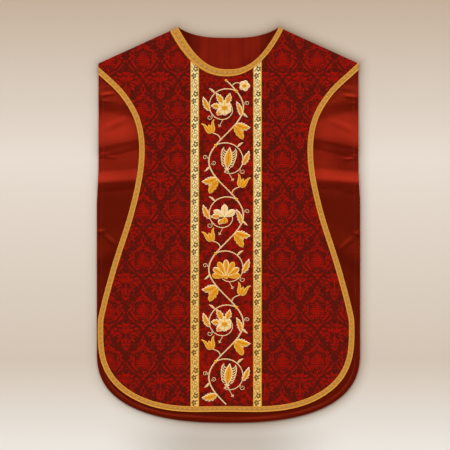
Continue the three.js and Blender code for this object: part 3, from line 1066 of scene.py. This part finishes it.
vine = {
    "top": 386 * mm,
    "bays": 6,
    "bayLength": 144,
    "swing": 46,  # how far the stem swings out
    "stemHalf": 1.5,
    "middle": (-4, 74),  # each bay's branch coils round this place
    "coil": (54.4, 18),  # from its first distance to its last
    "coilTurn": (-36, 290),  # and between these angles, from straight up
    "sides": 7,
}

# What every bay has
bayRows = [
    {"kind": "wave"},
    {"kind": "knot", "at": (28, 30), "radius": 4, "thread": "gold"},
    {"kind": "leaf", "from": (25, 117), "to": (65, 126), "half": 12.5, "bend": 5, "teeth": 5},
    {"kind": "tendril", "at": (56, 62), "radius": 6.5, "turns": 1.3, "start": 150},
    {"kind": "leaf", "from": (45, 86), "to": (58, 99), "half": 2.8, "bend": 2, "thread": "stem"},
    {"kind": "leaf", "from": (-43, 82), "to": (-61, 44), "half": 9.5, "bend": -3, "teeth": 5},
    {"kind": "leaf", "from": (-30, 35), "to": (-46, 22), "half": 2.8, "bend": 2, "thread": "stem"},
    {"kind": "tendril", "at": (-44, 99), "radius": 7.5, "turns": 1.2, "start": -50},
    {"kind": "stem", "points": [(-8, 104), (-10, 109), (-13, 114), (-16, 118)], "half": (0.7, 0.7)},
    {"kind": "cross", "at": (-17, 121), "radius": 4.6},
]

# Corners where two bays meet
tulipRows = [
    {"kind": "stem", "points": [(16, 17), (13, 4), (28, -2), (40, -4)], "half": (1.4, 1.1)},
    {"kind": "tulip", "from": (39, -4), "to": (49, -34), "half": 17},
]
topRows = [
    {"kind": "stem", "points": [(16, 17), (20, 6), (32, 4), (44, 12)], "half": (1.2, 1.0)},
    {"kind": "flower", "at": (49, 15), "radius": 15, "petals": 5, "turn": 20},
    {"kind": "knot", "at": (0, 1), "radius": 3.4, "thread": "gold"},
]
lowerLeaf = {"kind": "lobedLeaf", "from": (20, 122), "to": (44, 158), "half": 11, "bend": -4}

# What stands in the middle of a bay, in turn, with the leaf that fills the swing of its stem
fillingLeaf = {"kind": "leaf", "from": (41, 97), "to": (27, 56), "half": 8.5, "bend": 3, "teeth": 5}
bayMiddles = [
    [
        {"kind": "branch"},
        {
            "kind": "leafSpray",
            "at": (-4, 74),
            "leaves": [(-20, 42), (30, 45), (82, 37), (136, 28)],
            "half": 10,
        },
        {"kind": "flower", "at": (-4, 74), "radius": 20, "petals": 6, "turn": 0},
        fillingLeaf,
    ],
    [
        {"kind": "branch", "end": 200},
        {"kind": "palmette", "from": (-2, 96), "to": (-10, 34), "half": 11},
        {"kind": "tendril", "at": (33, 76), "radius": 6.5, "turns": 1.2, "start": 20},
    ],
    [
        {"kind": "branch"},
        {"kind": "lily", "at": (-4, 76), "reach": 34},
        {"kind": "leafSpray", "at": (-4, 74), "leaves": [(95, 37), (150, 27)], "half": 9},
        fillingLeaf,
    ],
    [
        {"kind": "branch", "end": 215},
        {"kind": "shell", "at": (0, 92), "reach": 46, "lobes": 7},
    ],
]


def bezier(points, count):
    # Bernstein sum of the control points
    t = np.linspace(0, 1, count)[:, None]
    order = len(points) - 1
    terms = [math.comb(order, k) * t**k * (1 - t) ** (order - k) * np.array(p) for k, p in enumerate(points)]
    return sum(terms)


def bentLine(start, end, bend, count):
    # straight from start to end, with its middle pushed sideways by bend
    start, end = np.array(start, float), np.array(end, float)
    side = np.array([-(end - start)[1], (end - start)[0]])
    side = side / np.linalg.norm(side) * bend
    return bezier([start, (2 * start + end) / 3 + side, (start + 2 * end) / 3 + side, end], count)


def blade(line, halves, height, lift, bay):
    # a domed strip of satin stitch along a line: halves are its half widths on the two sides of the line
    left, right = halves
    tangent = np.gradient(line, axis=0)
    length = np.linalg.norm(tangent, axis=1)[:, None]
    tangent = tangent / np.maximum(length, 1e-9)
    normal = np.stack([-tangent[:, 1], tangent[:, 0]], -1)
    across = np.sin(np.linspace(-1, 1, vine["sides"]) * math.pi / 2)
    half = np.where(across[None, :] < 0, left[:, None], right[:, None])
    offset = half * across[None, :]
    grid = line[:, None, :] + normal[:, None, :] * offset[..., None]
    x = frontShift + bay["side"] * grid[..., 0] * mm
    y = bay["start"] - grid[..., 1] * mm
    dome = np.sqrt(np.clip(1 - across**2, 0, 1))[None, :]
    swell = np.minimum(half, height * 2.2) / (height * 2.2)
    low = trimLow(x, y) + layers["trim"] - 0.2 * mm
    high = low + mm * (0.35 + lift + height * dome * np.clip(swell, 0.25, 1))
    run = np.concatenate([[0], np.cumsum(length[1:, 0])])[:, None] * mm
    inward = half * (1 - np.abs(across))[None, :] * mm
    t = np.linspace(0, 1, len(line))[:, None]
    maps = {
        "stitch": (np.broadcast_to(run, x.shape), inward),
        "share": (np.broadcast_to(t, x.shape), 0.5 + 0.5 * across + 0 * x),
    }
    return wall(x, y, low, high, maps)


def leafWidths(count, half, fullest=0.42, teeth=0, depth=0.34, point=0.8):
    # a leaf's half width: sin(pi * t ** bend) ** point, cut back from each tooth
    t = np.linspace(0, 1, count)
    bend = math.log(0.5) / math.log(fullest)
    width = np.clip(np.sin(math.pi * t**bend), 0, 1) ** point
    if teeth:
        width = width * (1 - depth * (1 - (t * teeth) % 1))
    return np.maximum(width * half, 0.25)


def makeStem(row, bay):
    line = bezier(row["points"], 26)
    t = np.linspace(0, 1, len(line))
    half = row["half"][0] + (row["half"][1] - row["half"][0]) * t
    half = np.maximum(half * np.minimum(1, 6 * np.minimum(t, 1 - t) + 0.35), 0.3)
    return {"stem": [blade(line, (half, half), 0.8, 0, bay)]}


def makeWave(row, bay):
    # the stem through one bay: swing * sin(pi * t) across, where t is the share of the way down
    t = np.linspace(0, 1, 60)
    line = np.stack([vine["swing"] * np.sin(math.pi * t), t * vine["bayLength"]], -1)
    half = vine["stemHalf"] * (1 + 0.25 * np.sin(math.pi * t))
    return {"stem": [blade(line, (half, half), 0.9, 0.05, bay)]}


def makeBranch(row, bay):
    # a coil: its distance from the middle shrinks evenly with its angle
    first, last = vine["coilTurn"]
    near, far = vine["coil"][1], vine["coil"][0]
    degrees = np.linspace(first, row.get("end", last), 70)
    radius = far + (near - far) * (degrees - first) / (last - first)
    angle = np.radians(degrees)
    line = np.array(vine["middle"]) + np.stack([-np.sin(angle), -np.cos(angle)], -1) * radius[:, None]
    half = np.linspace(1.5, 0.9, len(line))
    return {"stem": [blade(line, (half, half), 0.8, 0, bay)]}


def makeTendril(row, bay):
    t = np.linspace(0, 1, 52)
    angle = math.radians(row["start"]) + t * row["turns"] * 2 * math.pi
    radius = row["radius"] * (1 - 0.75 * t)
    line = np.array(row["at"]) + np.stack([np.cos(angle), np.sin(angle)], -1) * radius[:, None]
    half = np.maximum(0.75 * (1 - 0.4 * t), 0.3)
    return {"stem": [blade(line, (half, half), 0.6, 0, bay)]}


def makeKnot(row, bay):
    # a round ball of thread: a short blade as wide as it is long
    radius = row["radius"]
    t = np.linspace(-1, 1, 12)
    line = np.array(row["at"]) + np.stack([t * radius, 0 * t], -1)
    half = np.maximum(radius * np.sqrt(1 - t * t), 0.3)
    return {row.get("thread", "stem"): [blade(line, (half, half), 1.4, 0.6, bay)]}


def makeLeaf(row, bay):
    teeth = row.get("teeth", 0)
    line = bentLine(row["from"], row["to"], row["bend"], 60 if teeth else 18)
    half = leafWidths(len(line), row["half"], teeth=teeth)
    return {row.get("thread", "leaf"): [blade(line, (half, half), 1.0, 0.3 if teeth else 0.1, bay)]}


def makeLobedLeaf(row, bay):
    # a plain gold leaf with a wavy edge
    line = bentLine(row["from"], row["to"], row["bend"], 36)
    t = np.linspace(0, 1, len(line))
    wavy = 0.76 + 0.24 * np.abs(np.cos(t * 3.5 * math.pi))
    half = leafWidths(len(line), row["half"], 0.5, point=0.6) * wavy
    return {"gold": [blade(line, (half, half), 1.0, 0.1, bay)]}


def turnedBy(vector, degrees):
    angle = math.radians(degrees)
    x, y = vector
    return np.array([x * math.cos(angle) - y * math.sin(angle), x * math.sin(angle) + y * math.cos(angle)])


def petal(base, direction, length, half, bay, bend=0.0, lift=0.2, point=0.55, fullest=0.58):
    base = np.array(base, float)
    line = bentLine(base, base + np.array(direction) * length, bend, 16)
    width = leafWidths(len(line), half, fullest, point=point)
    return blade(line, (width, width), 1.0, lift, bay)


def makeFlower(row, bay):
    # round petals about a golden middle
    walls = {"petal": [], "gold": []}
    radius = row["radius"]
    for k in range(row["petals"]):
        direction = turnedBy((0, -1), row["turn"] + 360 / row["petals"] * k)
        walls["petal"].append(petal(row["at"], direction, radius, radius * 0.46, bay, lift=0.2 + 0.05 * k))
    walls["gold"] += makeKnot({"at": row["at"], "radius": radius * 0.42}, bay)["stem"]
    return walls


def makeLily(row, bay):
    # three pointed cream petals, and a broad golden one towards the stem
    walls = {"petal": [], "gold": []}
    for k, turn in enumerate((-60, 0, 60)):
        direction = turnedBy((0, -1), turn)
        lift = 0.2 + 0.05 * k
        blossom = petal(row["at"], direction, row["reach"], row["reach"] * 0.27, bay, lift=lift, point=0.7)
        walls["petal"].append(blossom)
    walls["gold"].append(petal(row["at"], (0, 1), row["reach"] * 0.55, 9, bay, lift=0.4, point=0.7))
    return walls


def makeLeafSpray(row, bay):
    # toothed leaves round one place: each has its angle from straight up, and its reach
    walls = []
    for turn, reach in row["leaves"]:
        direction = turnedBy((0, -1), -turn)
        line = bentLine(direction * 12 + row["at"], direction * reach + row["at"], 2, 50)
        half = leafWidths(len(line), row["half"], teeth=4)
        walls.append(blade(line, (half, half), 1.0, 0.1, bay))
    return {"leaf": walls}


def makeTulip(row, bay):
    # a cup of three gold petals, the outer two turned outward at their tips
    base = np.array(row["from"], float)
    axis = np.array(row["to"]) - base
    length = np.linalg.norm(axis)
    axis = axis / length
    side = turnedBy(axis, 90)
    walls = []
    for sign in (-1, 1):
        points = [
            base,
            base + side * sign * row["half"] * 0.75 + axis * length * 0.1,
            base + side * sign * row["half"] * 0.25 + axis * length * 0.75,
            base + side * sign * row["half"] * 1.1 + axis * length * 1.0,
        ]
        line = bezier(points, 22)
        half = leafWidths(len(line), row["half"] * 0.3, 0.36, point=0.75)
        walls.append(blade(line, (half, half), 1.0, 0.15, bay))
    middle = petal(base, axis, length * 0.72, row["half"] * 0.36, bay, lift=0.35, point=0.7, fullest=0.45)
    walls.append(middle)
    return {"gold": walls}


def makeCross(row, bay):
    walls = [
        petal(row["at"], turnedBy((0, -1), turn), row["radius"], row["radius"] * 0.26, bay, point=0.7)
        for turn in (30, 120, 210, 300)
    ]
    return {"stem": walls}


def makePalmette(row, bay):
    # a lance-shaped leaf with feathers that curl outward from both sides of it
    base = np.array(row["from"], float)
    axis = np.array(row["to"]) - base
    length = np.linalg.norm(axis)
    axis = axis / length
    walls = {"leaf": [], "stem": []}
    line = bentLine(base, row["to"], 0, 40)
    half = leafWidths(len(line), row["half"], 0.5, point=1.0)
    walls["leaf"].append(blade(line, (half, half), 1.1, 0.35, bay))
    for sign in (-1, 1):
        side = turnedBy(axis, 90 * sign)
        for k in range(7):
            share = 0.14 + 0.105 * k
            start = base + axis * length * share + side * row["half"] * 0.7
            reach = 8 + 7.5 * math.sin(math.pi * (k + 0.5) / 7)
            points = [
                start,
                start + side * reach * 0.5 + axis * 2,
                start + side * reach * 0.95 + axis * reach * 0.5,
                start + side * reach * 0.8 + axis * reach * 1.25,
            ]
            feather = bezier(points, 14)
            width = np.linspace(1.5, 0.9, len(feather))
            walls["stem"].append(blade(feather, (width, width), 0.7, 0.1, bay))
    for turn in (-130, -50, 50, 130):
        walls["stem"].append(petal(base, turnedBy(axis, turn), 9, 2.2, bay, lift=0.5, point=0.9))
    return walls


def makeShell(row, bay):
    # round lobes that spread evenly from one place, gold and cream in turn
    walls = {"gold": [], "leaf": []}
    for k, turn in enumerate(np.linspace(-84, 84, row["lobes"])):
        reach = row["reach"] * (0.8 + 0.2 * math.cos(math.radians(turn)))
        thread = "leaf" if k % 2 else "gold"
        direction = turnedBy((0, -1), turn)
        lobe = petal(row["at"], direction, reach, 8, bay, lift=0.1 + 0.05 * k, point=0.5, fullest=0.7)
        walls[thread].append(lobe)
    walls["gold"] += makeKnot({"at": row["at"], "radius": 6}, bay)["stem"]
    return walls


vineMakers = {
    "stem": makeStem,
    "tendril": makeTendril,
    "knot": makeKnot,
    "leaf": makeLeaf,
    "lobedLeaf": makeLobedLeaf,
    "flower": makeFlower,
    "lily": makeLily,
    "tulip": makeTulip,
    "cross": makeCross,
    "palmette": makePalmette,
    "wave": makeWave,
    "branch": makeBranch,
    "leafSpray": makeLeafSpray,
    "shell": makeShell,
}


def makeVine():
    threadWalls = {"stem": [], "leaf": [], "gold": [], "petal": []}
    for k in range(vine["bays"]):
        last = k == vine["bays"] - 1
        corner = tulipRows if k else topRows
        rows = bayRows + corner + bayMiddles[k % len(bayMiddles)] + [lowerLeaf] * (not last)
        bay = {"side": (-1) ** k, "start": vine["top"] - k * vine["bayLength"] * mm}
        for row in rows:
            for thread, walls in vineMakers[row["kind"]](row, bay).items():
                threadWalls[thread] += walls
    cream, gold, amber = threads["cream"], threads["gold"], threads["amber"]
    finishes = {
        "stem": threadFinish("cream_thread", (250, 224, 172), (246, 214, 150), (216, 164, 92), 0.8 * mm),
        "leaf": threadFinish("leaf_thread", cream, gold, amber, 2.3 * mm, 0.5),
        "gold": threadFinish("gold_thread", (250, 206, 92), (236, 166, 38), (212, 124, 22), 1.6 * mm),
        "petal": threadFinish("petal_thread", cream, (250, 222, 168), (238, 184, 96), 1.8 * mm),
    }
    return [
        makePiece("vine_" + thread, walls, finishes[thread])
        for thread, walls in threadWalls.items()
    ]


# Sewing


def stitchRow(line, step, length, half, heightAt):
    # short raised dashes along a line, one every step
    run, places = evenly(line, step)
    middles = np.stack([np.interp(places, run, line[:, k]) for k in range(2)], -1)
    ahead = np.stack([np.interp(places + step / 4, run, line[:, k]) for k in range(2)], -1)
    tangent = ahead - middles
    good = np.linalg.norm(tangent, axis=1) > 1e-9
    middles, tangent = middles[good], tangent[good]
    tangent = tangent / np.linalg.norm(tangent, axis=1)[:, None]
    normal = np.stack([-tangent[:, 1], tangent[:, 0]], -1)
    a = np.array([-1, -0.6, 0, 0.6, 1]) * length / 2
    b = np.array([-1, 0, 1]) * half
    grid = middles[:, None, None, :] + tangent[:, None, None, :] * a[None, :, None, None]
    grid = grid + normal[:, None, None, :] * b[None, None, :, None]
    x, y = grid[..., 0], grid[..., 1]
    base = heightAt(x, y)
    dome = (1 - (a / length * 2) ** 4)[None, :, None] * (1 - 0.7 * np.abs(b / half))[None, None, :]
    return [
        wall(x[k], y[k], base[k] - 0.1 * mm, base[k] + (0.08 + 0.22 * dome[0]) * mm, {})
        for k in range(len(x))
    ]


def liningStitchLine():
    # the lining's outline, drawn in to the stitch line
    side = np.linspace(neckTip - cut["shoulderDrop"] - 4 * mm, cut["backHemStart"], 400)
    hemX, hemDown = backHemRound(400)
    left = np.stack([np.r_[-backHalf(side), -hemX], np.r_[side, hemDown]], -1)
    line = np.concatenate([left, left[-2::-1] * [-1, 1]])
    tangent = np.gradient(line, axis=0)
    tangent /= np.linalg.norm(tangent, axis=1)[:, None]
    return line + np.stack([-tangent[:, 1], tangent[:, 0]], -1) * lining["stitchLine"]


def makeStitches():
    walls = stitchRow(liningStitchLine(), 3.6 * mm, 2.6 * mm, 0.35 * mm, liningTop)
    material = plainFinish("red_thread", (150, 34, 24), 0.5)
    return makePiece("lining_stitches", walls, material, 80)


# Table, lights and camera

studio = {
    "tableSize": 12,
    "cameraHeight": 9,
    "cameraMiddle": (-9.3 * mm, 0),
    "lens": 270,
    # brightness of the room straight above, of its lamps towards the neck, and low all round
    "zenith": 0.035,
    "lamps": 1.9,
    "walls": 0.9,
    "haloWidth": 37 * mm,  # soft shadow on the table round the garment
    "haloDepth": 0.38,
}

# The backdrop's painted light and shade, from its lower edge to its upper one: darker at the top and in a
# band above the lower edge
backdropStops = [
    (0.0, (240, 236, 230)),
    (0.2, (215, 200, 185)),
    (0.65, (235, 225, 215)),
    (1.0, (200, 180, 160)),
]


def garmentOutline():
    # closed line round the whole garment, anticlockwise from the right shoulder tip
    neckX = np.linspace(neckline["half"], -neckline["half"], 60)
    neckY = neckTip - cut["backNeckDepth"] * (1 - np.abs(neckX / neckline["half"]) ** cut["backNeckSpread"])
    shoulderX = np.linspace(shoulderTipX, neckline["half"], 40)[:-1]
    side = np.linspace(shoulderY(shoulderTipX), cut["backHemStart"], 120)[1:]
    half = backHalf(side)
    hemX, hemDown = backHemRound(160)
    right = np.concatenate([
        np.stack([shoulderX, shoulderY(shoulderX)], -1),
        np.stack([neckX, neckY], -1),
        np.stack([-shoulderX[::-1], shoulderY(shoulderX[::-1])], -1),
        np.stack([-half, side], -1),
        np.stack([-hemX, hemDown], -1),
        np.stack([hemX[-2::-1], hemDown[-2::-1]], -1),
        np.stack([half[::-1], side[::-1]], -1),
    ])
    closed = np.r_[right, right[:1]]
    length, _ = evenly(closed, 1)
    stations = np.linspace(0, length[-1], 900)
    return np.stack([np.interp(stations, length, closed[:, k]) for k in range(2)], -1)


def makeTable():
    half = studio["tableSize"] / 2
    x, y = np.meshgrid([-half, half], [-half, half])
    zero = np.zeros_like(x)
    far = {"halo": (zero + 1, zero)}
    plane = wall(x, y, zero - 10.4 * mm, zero - 0.4 * mm, far)
    line = garmentOutline()
    closed = np.r_[line[-9:-1], line, line[1:9]]
    tangent = closed[16:] - closed[:-16]
    tangent /= np.linalg.norm(tangent, axis=1)[:, None]
    outward = np.stack([tangent[:, 1], -tangent[:, 0]], -1)
    t = np.linspace(-0.3, 1, 14)
    ring = line[:, None, :] + outward[:, None, :] * (t[:, None] * studio["haloWidth"])
    low = np.zeros(ring.shape[:2])
    share = np.broadcast_to(np.clip(t, 0, 1), low.shape)
    halo = wall(ring[..., 0], ring[..., 1], low - 0.6 * mm, low - 0.3 * mm, {"halo": (share, low)})
    finish = Finish("table_paint")
    (x, y, _), where = finish.place()
    # painted light and shade of the backdrop, by height on the table
    level = (y + 0.6) / 1.2
    stops = [(place, paint(*colour)) for place, colour in backdropStops]
    tone = finish.node("ValToRGB", {"stops": stops}, [level])
    shareOut, _ = finish.uv("halo")
    around = x.rise(-0.4, 0.4) + abs(y).rise(0.36, 0.50) * 0.5 + 0.6
    shadow = (1 - shareOut) * (1 - shareOut) * around * studio["haloDepth"]
    # painted shadow on the table below the garment's hem, darkest under its middle
    below = y.rise(-0.48, -0.58) * y.rise(-0.90, -0.60) * abs(x + 9.3 * mm).rise(0.34, 0.06) * 0.5
    tone = finish.blend(shadow + below, tone, paint(150, 128, 104))
    material = finish.done({"Roughness": 0.9, "Specular IOR Level": 0.0}, {"Base Color": tone})
    table = makePieceMesh("table", [plane, halo], material, 30)


def makeRoom():
    # the room's light by direction: dark above, lamps on the neck's side and pale walls low all round
    world = bpy.data.worlds.new("room")
    room = NodeTree(world)
    where = room.node("TexCoord", {}, {}, "Generated")
    x, y, z = (room.node("SeparateXYZ", {}, [where], k) for k in range(3))
    lamps = y.rise(0.10, 0.34) * abs(x).rise(0.8, 0.5) * y.rise(0.92, 0.8) * z.rise(0.1, 0.3)
    walls = z.rise(0.86, 0.55)
    bright = lamps * studio["lamps"] + walls * studio["walls"] + studio["zenith"]
    background = room.tree.nodes.new("ShaderNodeBackground")
    background.inputs["Color"].default_value = (1, 0.985, 0.96, 1)
    room.tree.links.new(bright.socket, background.inputs["Strength"])
    output = room.tree.nodes.new("ShaderNodeOutputWorld")
    room.tree.links.new(background.outputs[0], output.inputs[0])
    bpy.context.scene.world = world


def makeStudio():
    makeTable()
    makeRoom()
    scene = bpy.context.scene
    scene.view_settings.view_transform = "Standard"
    lens = bpy.data.cameras.new("camera")
    lens.sensor_width = 36
    lens.lens = studio["lens"]
    lens.clip_end = 50
    camera = bpy.data.objects.new("camera", lens)
    camera.location = (*studio["cameraMiddle"], studio["cameraHeight"])
    scene.collection.objects.link(camera)
    scene.camera = camera


bandMaterial = scrollFinish("scroll_galloon")
braidMaterial = braidFinish("gold_braid")

makeBack()
makeLining()
makeFront()
makeOrphrey()
makeBand("scroll_band_left", "orphrey_band_left", -1)
makeBand("scroll_band_right", "orphrey_band_right", 1)
makeEdgeBraid()
makeNeckBraid()
makeVine()
makeStitches()
makeStudio()
